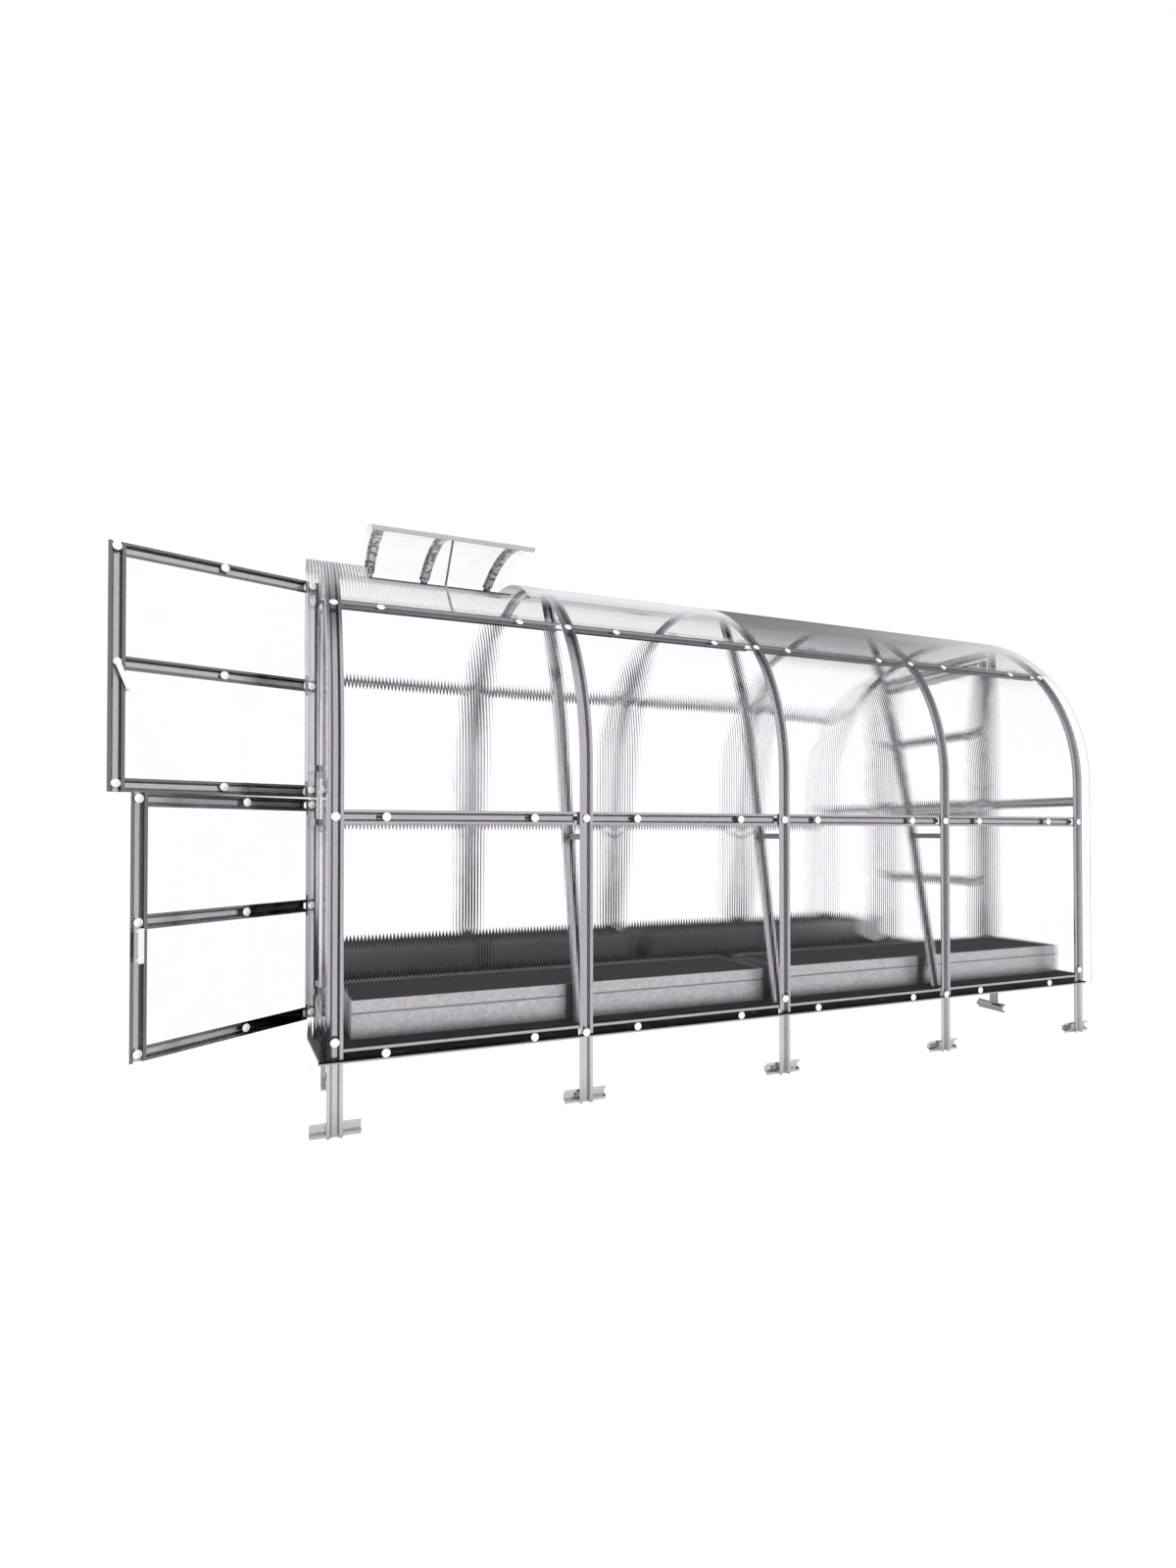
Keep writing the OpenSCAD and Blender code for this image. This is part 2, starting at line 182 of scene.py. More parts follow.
# ---------------------------------------------------------------- materials
def steel(name, base=(0.60, 0.60, 0.60), rough=0.20, spangle=0.10, mottle=0.0, dark=None, side=(), side_shade=0.30,
          side_shade_in=None, sheet_shade=True, leaf=None, fades=(), bars=(), bump_f=0.03, cells=120.0, span=(0.90, 1.06), rim=None):
    """Galvanised sheet steel: faint spangle, clouding and drawn streaks; painted shade darkens the profile's sloping
    sides and, inside, the steel above the sheet's lower edge.
    """
    t = Tree(name)
    co = t.obj()
    sep = t.n("SeparateXYZ")
    t.link(co, sep.inputs[0])
    vor = t.n("TexVoronoi", feature="F1")
    vor.inputs["Scale"].default_value = cells
    warp = t.noise(co, 40.0, 2.0)
    t.link(t.vmath("ADD", co, t.scale(warp, 0.012)), vor.inputs["Vector"])
    cell = t.n("SeparateColor")
    t.link(vor.outputs["Color"], cell.inputs[0])
    cloud = t.noise(co, 6.0, 3.0, 0.6)
    fine = t.noise(co, 520.0, 2.0, 0.6)
    v = t.math("ADD", t.math("MULTIPLY", cell.outputs[0], spangle), t.math("MULTIPLY", cloud, 0.10))
    v = t.math("ADD", v, t.math("MULTIPLY", fine, 0.03))
    lo = tuple(c * span[0] for c in base)
    hi = tuple(min(1.0, c * span[1]) for c in base)
    col = t.mixc(t.math("DIVIDE", v, spangle + 0.11, True), lo, hi)
    above = t.math("GREATER_THAN", sep.outputs[2], 0.279)
    # painted shade of the sheet: inside, the steel above the sheet's lower edge is darker and mauve
    if sheet_shade:
        col = t.mixc(above, col, t.mixc(1.0, col, (0.815, 0.795, 0.842), "MULTIPLY"))
    # painted shade: the profile's sloping sides get a darker copy of the colour, for the shade in the channel
    if side:
        nrm = t.n("TexCoord").outputs["Normal"]
        m = None
        for ax in side:
            q = t.math("GREATER_THAN", t.math("ABSOLUTE", t.vmath("DOT_PRODUCT", nrm, ax)), 0.60)
            m = q if m is None else t.math("MAXIMUM", m, q)
        if sheet_shade:
            m = t.math("MULTIPLY", m, above)
        if leaf:
            # the hinge stile stands behind the gable sheet, in its light
            along = t.math("SUBTRACT", t.vmath("DOT_PRODUCT", co, tuple(leaf[1])), leaf[0].dot(leaf[1]))
            m = t.math("MULTIPLY", m, t.math("GREATER_THAN", along, HAT_W + 0.004))
        sf = (side_shade,) * 3
        if side_shade_in:
            # the arches inside the row catch more light on their near legs than the end arch does
            q = t.math("MULTIPLY", t.math("GREATER_THAN", sep.outputs[0], 0.5), t.math("LESS_THAN", sep.outputs[1], 0.60))
            sf = t.mixc(q, sf, (side_shade_in,) * 3)
        col = t.mixc(m, col, t.mixc(1.0, col, sf, "MULTIPLY"))
    if leaf:
        # painted shade on the brims of the leaf's profile, and on the ends that stand in the dark
        o, u, w, flange = leaf
        depth = t.math("SUBTRACT", t.vmath("DOT_PRODUCT", co, tuple(w)), o.dot(w) - LEAF_D)
        m = t.math("MULTIPLY", t.math("GREATER_THAN", depth, -0.005), t.math("GREATER_THAN", along, HAT_W + 0.004))
        col = t.mixc(m, col, t.mixc(1.0, col, (flange,) * 3, "MULTIPLY"))
        if fades:
            # painted light: the hinge stile's web, in the gable sheet's light, is pale and nearly matt, less so where
            # the bars cross it; the strip along the hinge edge is painted dark
            pale = t.math("MULTIPLY", t.math("LESS_THAN", along, HAT_W + 0.002), t.math("GREATER_THAN", along, 0.0175))
            edge = t.math("LESS_THAN", along, 0.0175)
            for z in bars:
                band = t.math("LESS_THAN", t.math("ABSOLUTE", t.math("SUBTRACT", sep.outputs[2], z)), 0.026)
                pale = t.math("MULTIPLY", pale, t.math("SUBTRACT", 1.0, t.math("MULTIPLY", band, 0.72)))
            col = t.mixc(pale, col, (0.80, 0.785, 0.82))
            col = t.mixc(edge, col, (0.20, 0.195, 0.205))
        for (z0, z1, s1, f) in fades:
            m = t.math("MULTIPLY", t.math("GREATER_THAN", sep.outputs[2], z0), t.math("LESS_THAN", sep.outputs[2], z1))
            m = t.math("MULTIPLY", m, t.math("MULTIPLY", t.math("SUBTRACT", s1, along), 22.0, True))
            m = t.math("MULTIPLY", m, t.math("GREATER_THAN", along, HAT_W - 0.015))
            col = t.mixc(m, col, t.mixc(1.0, col, (f,) * 3, "MULTIPLY"))
    if mottle > 0:
        n1 = t.noise(co, 34.0, 1.5, 0.5)
        n2 = t.noise(co, 110.0, 2.0, 0.6)
        blot = t.math("MULTIPLY", t.math("SUBTRACT", t.math("ADD", t.math("MULTIPLY", n1, 0.85), t.math("MULTIPLY", n2, 0.15)), 0.490), 20.0, True)
        blot = t.math("MULTIPLY", blot, t.math("GREATER_THAN", sep.outputs[1], 0.414))
        col = t.mixc(t.math("MULTIPLY", blot, mottle), col, tuple(c * 0.16 for c in base))
        col = t.mixc(t.math("LESS_THAN", sep.outputs[1], 0.414), col, t.mixc(1.0, col, (0.72, 0.72, 0.73), "MULTIPLY"))
    if rim:
        # the brims lie in the sheet's shadow
        col = t.mixc(t.math("GREATER_THAN", sep.outputs[2], rim), col, t.mixc(1.0, col, (0.42, 0.42, 0.43), "MULTIPLY"))
    if dark:
        # dark fixing blocks low down at the hinge line
        m = t.math("MULTIPLY", t.math("GREATER_THAN", sep.outputs[1], dark[0]), t.math("LESS_THAN", sep.outputs[2], dark[1]))
        col = t.mixc(m, col, (0.05, 0.05, 0.05))
    b = t.n("BsdfPrincipled")
    t.set(b, Metallic=1.0)
    # the stile's painted light is nearly matt
    if leaf and fades:
        t.link(t.math("SUBTRACT", 1.0, t.math("MULTIPLY", pale, 0.9)), b.inputs["Metallic"])
    t.link(col, b.inputs["Base Color"])
    r = t.math("ADD", t.math("MULTIPLY", cell.outputs[1], 0.05), t.math("ADD", t.math("MULTIPLY", cloud, 0.06), rough - 0.05))
    t.link(r, b.inputs["Roughness"])
    bump = t.n("Bump")
    bump.inputs["Strength"].default_value = bump_f
    bump.inputs["Distance"].default_value = 0.0004
    t.link(t.math("ADD", cell.outputs[2], t.math("MULTIPLY", fine, 0.4)), bump.inputs["Height"])
    t.link(bump.outputs[0], b.inputs["Normal"])
    t.link(b.outputs[0], t.out.inputs[0])
    return t.mat


FACE = (0.985, 0.982, 0.988)    # what one skin of the sheet lets through


def other_rays(t, shader, colour):
    """Lets every ray but those from the eye pass the sheet straight."""
    tr = t.n("BsdfTransparent")
    tr.inputs["Color"].default_value = grey(colour)
    lp = t.n("LightPath")
    bounced = t.math("MAXIMUM", lp.outputs["Is Glossy Ray"], lp.outputs["Is Diffuse Ray"])
    bounced = t.math("MULTIPLY", bounced, t.math("SUBTRACT", 1.0, lp.outputs["Is Transmission Ray"]))
    f = t.math("MAXIMUM", lp.outputs["Is Shadow Ray"], bounced)
    m2 = t.n("MixShader")
    t.link(f, m2.inputs[0])
    t.link(shader, m2.inputs[1])
    t.link(tr.outputs[0], m2.inputs[2])
    t.link(m2.outputs[0], t.out.inputs[0])


def clear(name, axis, mean=(0.0, 0.0, 0.0), saw=0.063, vert=0.022, gloss=0.22, line=0.70, pitch=PITCH, roof=False, shade=0.0):
    """Skin of a twin-wall sheet: each flute is a flat little prism that turns what is behind it.
    mean is (floor, value at 0, slope along X) of the prisms' common tilt; over the purlins a roof sheet is hazy."""
    t = Tree(name)
    co = t.obj()
    sep = t.n("SeparateXYZ")
    t.link(co, sep.inputs[0])
    x, y, z = sep.outputs
    ph = t.math("DIVIDE", t.vmath("DOT_PRODUCT", co, axis), pitch)
    sw = t.math("SUBTRACT", t.math("MULTIPLY", t.math("FRACT", ph), 2.0), 1.0)
    tri = t.math("SUBTRACT", t.math("MULTIPLY", t.math("ABSOLUTE", sw), 2.0), 1.0)
    geo = t.n("NewGeometry")
    front = t.math("SUBTRACT", 1.0, geo.outputs["Backfacing"])
    lw = t.n("LayerWeight")
    lw.inputs["Blend"].default_value = 0.5
    facing = lw.outputs["Facing"]
    # a slanting look through a prism turns it more: hold that down
    c = t.math("SUBTRACT", 1.0, facing)
    root = t.math("SQRT", t.math("ADD", t.math("MULTIPLY", c, c), 1.25))
    comp = t.math("MINIMUM", 1.0, t.math("DIVIDE", t.math("MULTIPLY", c, 1.1), t.math("SUBTRACT", root, c)))
    near = t.math("MULTIPLY", t.math("SUBTRACT", 0.82, facing), 10.0, True)
    side = t.math("MULTIPLY", t.math("SUBTRACT", facing, 0.82), 20.0, True)
    if roof:
        near = t.math("MULTIPLY", near, t.math("MULTIPLY", t.math("SUBTRACT", 2.085, z), 20.0, True))
        side = t.math("MAXIMUM", side, t.math("MULTIPLY", t.math("SUBTRACT", z, 2.07), 30.0, True))
    wob = t.math("MULTIPLY", t.math("MULTIPLY", near, comp), t.math("ADD", t.math("MULTIPLY", t.noise(co, 14.0, 2.0), 0.5), 0.75))
    if roof:
        # the sheet's overhang is calmer than the bays
        wob = t.math("MULTIPLY", wob, t.math("ADD", t.math("MULTIPLY", t.math("MULTIPLY", t.math("ADD", x, 0.012), 80.0, True), 0.85), 0.15))
    tilt = t.math("MAXIMUM", mean[0], t.math("ADD", t.math("MULTIPLY", x, mean[2]), mean[1]))
    s = t.math("MULTIPLY", t.math("MULTIPLY", t.math("ADD", t.math("MULTIPLY", sw, saw), tilt), wob), t.math("MULTIPLY", front, -1.0))
    v = t.math("MULTIPLY", t.math("MULTIPLY", tri, vert), t.math("MULTIPLY", front, wob))
    across = t.vmath("CROSS_PRODUCT", geo.outputs["Normal"], axis)
    nrm = t.vmath("NORMALIZE", t.vmath("ADD", t.vmath("ADD", geo.outputs["Normal"], t.scale(axis, s)), t.scale(across, v)))
    lines = t.math("POWER", t.math("ABSOLUTE", sw), 3.0)
    graze = t.math("MULTIPLY", t.math("SUBTRACT", facing, 0.38), 2.6, True)
    dark = t.math("MULTIPLY", t.math("MULTIPLY", lines, front), t.math("ADD", 0.05, t.math("MULTIPLY", graze, line)))
    col = t.mixc(dark, FACE, (0.30, 0.30, 0.31))
    if roof:
        # broad flute lines on the shoulder of the vent's end
        end = t.math("MULTIPLY", t.math("MULTIPLY", t.math("SUBTRACT", 0.16, x), 60.0, True), t.math("MULTIPLY", t.math("SUBTRACT", z, 2.13), 7.0, True))
        end = t.math("MULTIPLY", end, t.math("MULTIPLY", t.math("SUBTRACT", facing, 0.40), 6.0, True))
        end = t.math("MULTIPLY", end, t.math("LESS_THAN", y, 1.04))
        broad = t.math("MULTIPLY", t.math("SUBTRACT", t.math("ABSOLUTE", sw), 0.50), 5.0, True)
        broad = t.math("MULTIPLY", t.math("MULTIPLY", broad, end), front)
        col = t.mixc(broad, col, (0.34, 0.335, 0.345))
        # low in the overhang, a painted image of the dark floor, which the flutes turn into view, with a ragged top
        # edge
        comb = t.n("CombineXYZ")
        t.link(x, comb.inputs[0])
        edge = t.math("ADD", t.math("MULTIPLY", t.noise(comb.outputs[0], 160.0, 2.0), 0.24), 0.315)
        low = t.math("MULTIPLY", t.math("SUBTRACT", edge, z), 50.0, True)
        low = t.math("MULTIPLY", low, t.math("MULTIPLY", t.math("SUBTRACT", -0.014, x), 200.0, True))
        cut = t.math("ADD", t.math("MULTIPLY", t.math("SUBTRACT", -0.056, x), 2.3), 0.278)
        low = t.math("MULTIPLY", low, t.math("MULTIPLY", t.math("SUBTRACT", z, cut), 50.0, True))
        col = t.mixc(t.math("MULTIPLY", low, t.math("LESS_THAN", y, 0.5)), col, (0.26, 0.258, 0.262))
    rf = t.n("BsdfRefraction")
    rf.inputs["Roughness"].default_value = 0.0
    rf.inputs["IOR"].default_value = 1.5
    t.link(col, rf.inputs["Color"])
    t.link(nrm, rf.inputs["Normal"])
    st = t.n("BsdfTransparent")
    t.link(col, st.inputs["Color"])
    m1 = t.n("MixShader")
    t.link(side, m1.inputs[0])
    t.link(rf.outputs[0], m1.inputs[1])
    t.link(st.outputs[0], m1.inputs[2])
    last = m1.outputs[0]
    if roof:
        # haze over the purlins, heavier the more slanting the look
        haze = t.n("BsdfDiffuse")
        white = t.mixc(t.math("MULTIPLY", lines, 0.30), (0.93, 0.925, 0.935), (0.55, 0.55, 0.56))
        t.link(t.mixc(broad, white, (0.30, 0.295, 0.31)), haze.inputs["Color"])
        w = t.math("MULTIPLY", t.math("SUBTRACT", facing, 0.60), 4.4, True)
        w = t.math("MULTIPLY", t.math("MULTIPLY", w, t.math("MULTIPLY", t.math("SUBTRACT", z, 2.0), 5.0, True)), t.math("MULTIPLY", front, 0.90))
        # thinner over the end arch, which shows through it
        past = t.math("ADD", t.math("MULTIPLY", t.math("MULTIPLY", t.math("SUBTRACT", x, 0.030), 60.0, True), 0.45), 0.35)
        w = t.math("MULTIPLY", w, t.math("SUBTRACT", 1.0, t.math("MULTIPLY", end, 0.75)))
        w = t.math("MAXIMUM", w, t.math("MULTIPLY", t.math("MULTIPLY", end, past), front))
        m2 = t.n("MixShader")
        t.link(w, m2.inputs[0])
        t.link(last, m2.inputs[1])
        t.link(haze.outputs[0], m2.inputs[2])
        last = m2.outputs[0]
    # painted dark reflection on the right sheet's near half towards the ridge: heaviest at X 2, fading along X and down
    # to the purlin
    if shade > 0:
        deep = t.n("BsdfDiffuse")
        deep.inputs["Color"].default_value = (0.11, 0.11, 0.112, 1.0)
        fx = t.ramp(t.math("MULTIPLY", t.math("SUBTRACT", x, 2.0), 0.5, True), ((0.0, 0.97), (0.275, 0.91), (0.45, 0.83), (0.65, 0.63), (0.85, 0.38), (1.0, 0.20)))
        fz = t.ramp(t.math("DIVIDE", t.math("SUBTRACT", z, 1.95), 0.45, True), ((0.0, 0.0), (0.235, 0.46), (0.85, 1.0)))
        a = t.math("MULTIPLY", t.math("MULTIPLY", fx, fz), t.math("MULTIPLY", front, shade))
        a = t.math("MULTIPLY", a, t.math("MULTIPLY", t.math("SUBTRACT", 1.02, y), 30.0, True))
        # the painted dark reflection shows only on a slanting look: face on, the sheet is clear
        a = t.math("MULTIPLY", a, t.math("MULTIPLY", t.math("SUBTRACT", facing, 0.38), 9.0, True))
        m3 = t.n("MixShader")
        t.link(a, m3.inputs[0])
        t.link(last, m3.inputs[1])
        t.link(deep.outputs[0], m3.inputs[2])
        last = m3.outputs[0]
    gl = t.n("BsdfGlossy")
    gl.inputs["Roughness"].default_value = 0.06
    gl.inputs["Color"].default_value = (1, 1, 1, 1)
    fr = t.n("Fresnel")
    fr.inputs["IOR"].default_value = 1.45
    f = t.math("MULTIPLY", t.math("MULTIPLY", fr.outputs[0], gloss), front)
    m = t.n("MixShader")
    t.link(f, m.inputs[0])
    t.link(last, m.inputs[1])
    t.link(gl.outputs[0], m.inputs[2])
    other_rays(t, m.outputs[0], FACE)
    return t.mat


def pane(name, colour=(0.985, 0.985, 0.988), gloss=0.35):
    """A clear flat pane, with faint smears."""
    t = Tree(name)
    co = t.obj()
    st = t.n("BsdfTransparent")
    smear = t.math("MULTIPLY", t.math("SUBTRACT", t.noise(co, 7.0, 5.0, 0.6), 0.52), 3.0, True)
    t.link(t.mixc(smear, colour, tuple(c * 0.975 for c in colour)), st.inputs["Color"])
    gl = t.n("BsdfGlossy")
    gl.inputs["Roughness"].default_value = 0.05
    fr = t.n("Fresnel")
    fr.inputs["IOR"].default_value = 1.45
    geo = t.n("NewGeometry")
    f = t.math("MULTIPLY", t.math("MULTIPLY", fr.outputs[0], gloss), t.math("SUBTRACT", 1.0, geo.outputs["Backfacing"]))
    m = t.n("MixShader")
    t.link(f, m.inputs[0])
    t.link(st.outputs[0], m.inputs[1])
    t.link(gl.outputs[0], m.inputs[2])
    other_rays(t, m.outputs[0], colour)
    return t.mat


def web_mat(name, val=0.90):
    t = Tree(name)
    tr = t.n("BsdfTransparent")
    co = t.obj()
    t.link(t.mixc(t.noise(co, 60.0, 2.0), (val * 0.98,) * 3, (min(1.0, val * 1.03),) * 3), tr.inputs["Color"])
    t.link(tr.outputs[0], t.out.inputs[0])
    return t.mat


def plastic(name, col, rough=0.35, bump=0.02):
    t = Tree(name)
    co = t.obj()
    b = t.n("BsdfPrincipled")
    n1 = t.noise(co, 160.0, 3.0, 0.6)
    t.link(t.mixc(n1, tuple(c * 0.95 for c in col), col), b.inputs["Base Color"])
    t.link(t.math("ADD", t.math("MULTIPLY", n1, 0.12), rough - 0.06), b.inputs["Roughness"])
    bp = t.n("Bump")
    bp.inputs["Strength"].default_value = bump
    bp.inputs["Distance"].default_value = 0.0004
    t.link(t.noise(co, 900.0, 2.0), bp.inputs["Height"])
    t.link(bp.outputs[0], b.inputs["Normal"])
    t.link(b.outputs[0], t.out.inputs[0])
    return t.mat


def seal_mat():
    """Black strip, glossy and a little wavy along its length."""
    t = Tree("black_strip")
    co = t.obj()
    b = t.n("BsdfPrincipled")
    st = t.n("Mapping")
    t.link(co, st.inputs["Vector"])
    st.inputs["Scale"].default_value = (0.25, 1.0, 1.6)
    wave = t.noise(st.outputs[0], 60.0, 2.0, 0.5)
    # the wave's crests get a painted reddish-brown reflection in the black; the gloss and bump below are real
    black = t.mixc(t.math("MULTIPLY", t.math("SUBTRACT", wave, 0.62), 12.0, True), (0.002, 0.0015, 0.0015), (0.045, 0.032, 0.030))
    sep = t.n("SeparateXYZ")
    t.link(co, sep.inputs[0])
    outer = t.math("MAXIMUM", t.math("LESS_THAN", sep.outputs[1], -0.003), t.math("GREATER_THAN", sep.outputs[1], W + 0.003))
    pale = t.math("MULTIPLY", outer, t.math("LESS_THAN", sep.outputs[2], 0.2812))
    t.link(t.mixc(pale, black, (0.35, 0.345, 0.355)), b.inputs["Base Color"])
    b.inputs["Specular IOR Level"].default_value = 0.06
    t.link(t.math("ADD", t.math("MULTIPLY", wave, 0.2), 0.25), b.inputs["Roughness"])
    bp = t.n("Bump")
    bp.inputs["Strength"].default_value = 0.7
    bp.inputs["Distance"].default_value = 0.003
    t.link(wave, bp.inputs["Height"])
    t.link(bp.outputs[0], b.inputs["Normal"])
    t.link(b.outputs[0], t.out.inputs[0])
    return t.mat


def rough_mat(name, lo, hi, spot=None, bump=0.9, size=55.0):
    t = Tree(name)
    co = t.obj()
    b = t.n("BsdfPrincipled")
    n1 = t.noise(co, size, 6.0, 0.65)
    n2 = t.noise(co, size * 6.2, 4.0, 0.7)
    c = t.mixc(n1, lo, hi)
    if spot:
        c = t.mixc(t.math("MULTIPLY", t.math("SUBTRACT", n2, 0.60), 5.0, True), c, spot)
    t.link(c, b.inputs["Base Color"])
    b.inputs["Roughness"].default_value = 0.95
    b.inputs["Specular IOR Level"].default_value = 0.2
    bp = t.n("Bump")
    bp.inputs["Strength"].default_value = bump
    bp.inputs["Distance"].default_value = 0.004
    t.link(t.math("ADD", n1, t.math("MULTIPLY", n2, 0.5)), bp.inputs["Height"])
    t.link(bp.outputs[0], b.inputs["Normal"])
    t.link(b.outputs[0], t.out.inputs[0])
    return t.mat


def stay_mat():
    """Dark rod above the knuckle, pale strap below it."""
    t = Tree("stay")
    co = t.obj()
    sep = t.n("SeparateXYZ")
    t.link(co, sep.inputs[0])
    m = t.math("MULTIPLY", t.math("SUBTRACT", sep.outputs[2], 2.245), 120.0, True)
    b = t.n("BsdfPrincipled")
    t.set(b, Metallic=0.8)
    n1 = t.noise(co, 150.0, 3.0)
    pale = t.mixc(n1, (0.50, 0.49, 0.51), (0.62, 0.61, 0.63))
    deep = t.mixc(n1, (0.10, 0.10, 0.10), (0.17, 0.17, 0.17))
    t.link(t.mixc(m, pale, deep), b.inputs["Base Color"])
    t.link(t.math("ADD", t.math("MULTIPLY", n1, 0.2), 0.3), b.inputs["Roughness"])
    t.link(b.outputs[0], t.out.inputs[0])
    return t.mat


def leaf_axes(leaf):
    """Origin on the hinge axis, direction to the free edge, outward normal."""
    a = OPEN[leaf]
    if leaf.startswith("left"):
        return Vector((PIN_X, PIN_Y, 0)), Vector((-math.sin(a), math.cos(a), 0)), Vector((-math.cos(a), -math.sin(a), 0))
    return Vector((4 - PIN_X, PIN_Y, 0)), Vector((0, 1, 0)), Vector((1, 0, 0))


M_STEEL = steel("galvanised")
M_ARCH = steel("galvanised_post", side=((1, 0, 0),), side_shade=0.50, side_shade_in=0.85)
M_STRUT = steel("galvanised_strut", side=((1, 0, 0),), side_shade=0.45)
M_RIDGE = steel("galvanised_ridge", base=(0.82, 0.815, 0.83), side=((0, 1, 0),), side_shade=0.84, rim=2.4225)
M_FEET = steel("galvanised_feet", base=(0.72, 0.72, 0.72))
M_RAIL = steel("galvanised_rail", side=((0, 0, 1),))
M_PURLIN = steel("galvanised_purlin", base=(0.68, 0.68, 0.68), side=((0, math.sin(PURLIN_A), math.cos(PURLIN_A)),), side_shade=0.80)
M_JAMB = steel("galvanised_jamb", side=((0, 1, 0),))
M_JAMB_L = steel("galvanised_jamb_left", base=(0.80, 0.79, 0.81), sheet_shade=False)
# painted shade near the left leaves' hinge at the rails: (z0, z1, reach from the hinge, factor)
FADES = {"upper": ((1.28, 1.36, 0.34, 0.45), (1.74, 1.83, 0.27, 0.50)),
         "lower": ((0.30, 0.38, 0.40, 0.05), (0.77, 0.86, 0.365, 0.05), (1.21, 1.30, 0.34, 0.30))}
BARS = {"upper": (1.316, 1.785, 2.223), "lower": (0.340, 0.812, 1.254)}
M_LEAF = {}
for leaf in OPEN:
    o, u, w = leaf_axes(leaf)
    M_LEAF[leaf] = steel("galvanised_" + leaf, base=(0.49, 0.485, 0.495), rough=0.20, side=(tuple(u), (0, 0, 1)), side_shade=0.50 if leaf.endswith("upper") else 0.90, sheet_shade=False,
                         leaf=(o, u, w, 0.38), fades=FADES[leaf.split("_")[1]] if leaf.startswith("left") else (),
                         bars=BARS[leaf.split("_")[1]], bump_f=0.01)
M_VENT = steel("galvanised_vent", base=(0.72, 0.72, 0.73), rough=0.30, mottle=0.9, dark=(0.990, 2.4425), side=((1, 0, 0),), side_shade=0.40, sheet_shade=False)
M_BED = steel("bed_panel", base=(0.56, 0.55, 0.57), rough=0.36, spangle=0.40, sheet_shade=False, cells=80.0, span=(0.80, 1.10))
# painted shade: the far bed's panels are a darker copy of the near bed's
M_BED_SHADED = steel("bed_panel_far_shaded", base=(0.34, 0.335, 0.345), rough=0.36, spangle=0.40, sheet_shade=False, cells=80.0, span=(0.80, 1.10))
# painted shade: dark steel for the strips along the bed panels' fold
M_CREASE_SHADE = steel("bed_crease", base=(0.26, 0.26, 0.265), rough=0.40, sheet_shade=False)
M_ROD = stay_mat()
M_WHITE = plastic("white_plastic", (0.94, 0.94, 0.94), 0.32)
M_CAP = plastic("white_cap", (0.95, 0.95, 0.95), 0.35)
# painted shade and painted reflection: flat near-black for the dark marks on the rails and the bed fronts
M_PAINTED_DARK = plastic("painted_dark", (0.030, 0.029, 0.030), 0.5)
M_BLACK = seal_mat()
M_SOIL = rough_mat("soil", (0.030, 0.028, 0.027), (0.055, 0.052, 0.050), (0.10, 0.095, 0.09))
M_FLOOR = rough_mat("dark_floor", (0.012, 0.011, 0.012), (0.030, 0.028, 0.029), None, 0.3, 20.0)
M_ROOF_L = clear("sheet_left", (1, 0, 0), mean=(-0.02, 0.090, -0.056), roof=True)
M_ROOF_R = clear("sheet_right", (1, 0, 0), mean=(0.018, 0.120, -0.028), roof=True, shade=1.0)
M_GABLE = clear("sheet_gable", (0, 1, 0), mean=(0.02, 0.02, 0.0), saw=0.05, line=0.25, gloss=0.90)
M_PANE = pane("sheet_door")
M_VPANE = pane("sheet_vent", (0.975, 0.975, 0.98), 0.5)
M_WEB = web_mat("sheet_web", 0.965)
M_WEB_D = web_mat("door_web", 0.985)


# ---------------------------------------------------------------- mesh help
def new_object(name, verts, faces, mats, body=ROOT, smooth=None, index=None):
    me = bpy.data.meshes.new(name)
    me.from_pydata([tuple(v) for v in verts], [], faces)
    ob = bpy.data.objects.new(name, me)
    bpy.context.scene.collection.objects.link(ob)
    for m in mats:
        me.materials.append(m)
    if index is not None:
        for p, i in zip(me.polygons, index):
            p.material_index = i
    if smooth is not None:
        for p in me.polygons:
            p.use_smooth = bool(smooth)
    me.update()
    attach(ob, body)
    return ob


def set_mat(node, mat):
    ob = NODES[node]
    if not ob.material_slots:
        ob.data.materials.append(mat)
    for s in ob.material_slots:
        s.material = mat


for n in NODES:
    if n.startswith(("arch", "strut", "feet", "base_r", "mid_r", "upper_p", "ridge", "gable_jambs", "gable_rails", "hinge", "floor_cl")):
        kind = M_STEEL
        if n.startswith("arch"):
            kind = M_ARCH
        elif n.startswith("strut"):
            kind = M_STRUT
        elif n.startswith(("base_r", "mid_r", "gable_rails")):
            kind = M_RAIL
        elif n.startswith("upper_p"):
            kind = M_PURLIN
        elif n.startswith("gable_j"):
            kind = M_JAMB_L if n.endswith("left") else M_JAMB
        elif n.startswith("ridge"):
            kind = M_RIDGE
        elif n == "feet":
            kind = M_FEET
        set_mat(n, kind)
    elif n.endswith("_frame"):
        set_mat(n, M_VENT if n == "vent_frame" else M_LEAF[n[:-6]])
set_mat("vent_stay", M_ROD)
set_mat("bed_near", M_BED)
set_mat("bed_far", M_BED_SHADED)
for n in ("soil_near", "soil_far"):
    set_mat(n, M_SOIL)
set_mat("floor_panel", M_FLOOR)
set_mat("edge_seals", M_BLACK)
for n in NODES:
    if n.endswith("_handle"):
        set_mat(n, M_WHITE)


# ---------------------------------------------------------------- sheets
def roof_path(n_arc=96, extra=()):
    """(Y, Z, ny, nz) from the near bottom edge over the arch to the far one."""
    pts = []
    for z in (SHEET_Z, 0.6, 1.0, WALL):
        pts.append((0.0, z, -1.0, 0.0))
    angs = sorted(set([math.pi * i / n_arc for i in range(1, n_arc)] + list(extra)))
    for a in angs:
        pts.append((R - R * math.cos(a), WALL + R * math.sin(a), -math.cos(a), math.sin(a)))
    for z in (WALL, 1.0, 0.6, SHEET_Z):
        pts.append((W, z, 1.0, 0.0))
    return pts


